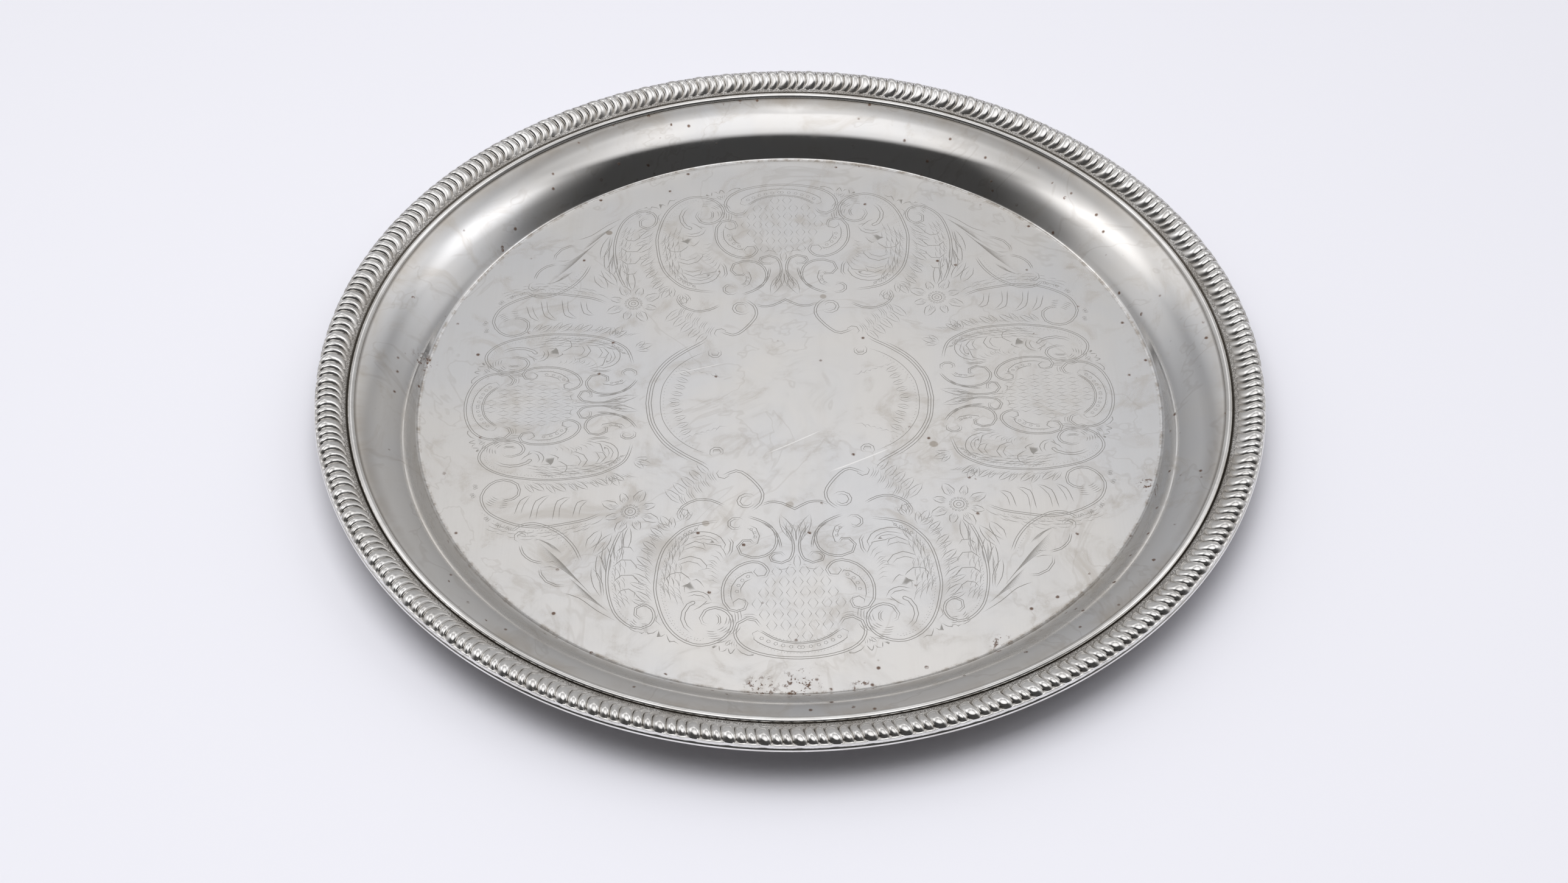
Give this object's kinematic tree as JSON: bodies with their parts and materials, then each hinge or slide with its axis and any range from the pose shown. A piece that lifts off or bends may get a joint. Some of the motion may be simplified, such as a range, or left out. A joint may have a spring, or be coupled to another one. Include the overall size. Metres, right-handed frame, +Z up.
{
  "type": "offering plate",
  "caption": "Round plated metal offering plate: shallow engraved dish with a wide conical rim and a twisted gadroon border folded over a wired edge.",
  "frame": {"origin": "centre of the pan's flat underside, where the plate stands", "axes": "+Z up through the middle of the plate, -Y towards the viewer, +X to the viewer's right"},
  "size_m": [0.312, 0.312, 0.0191],
  "materials": {
    "plated_pan": "worn bright plate on steel, satin floor with fine engraving, light tarnish and rust specks",
    "plated_border": "worn bright plate, yellow-brown tarnish between the lobes",
    "soft_solder": "dull grey soft solder, hidden inside the border",
    "steel_wire": "drawn wire, hidden in the folded edge"
  },
  "bodies": {
    "root": {"pan": "plated_pan", "gadroon_border": "plated_border", "border_solder": "soft_solder", "edge_wire": "steel_wire"}
  },
  "joints": []
}
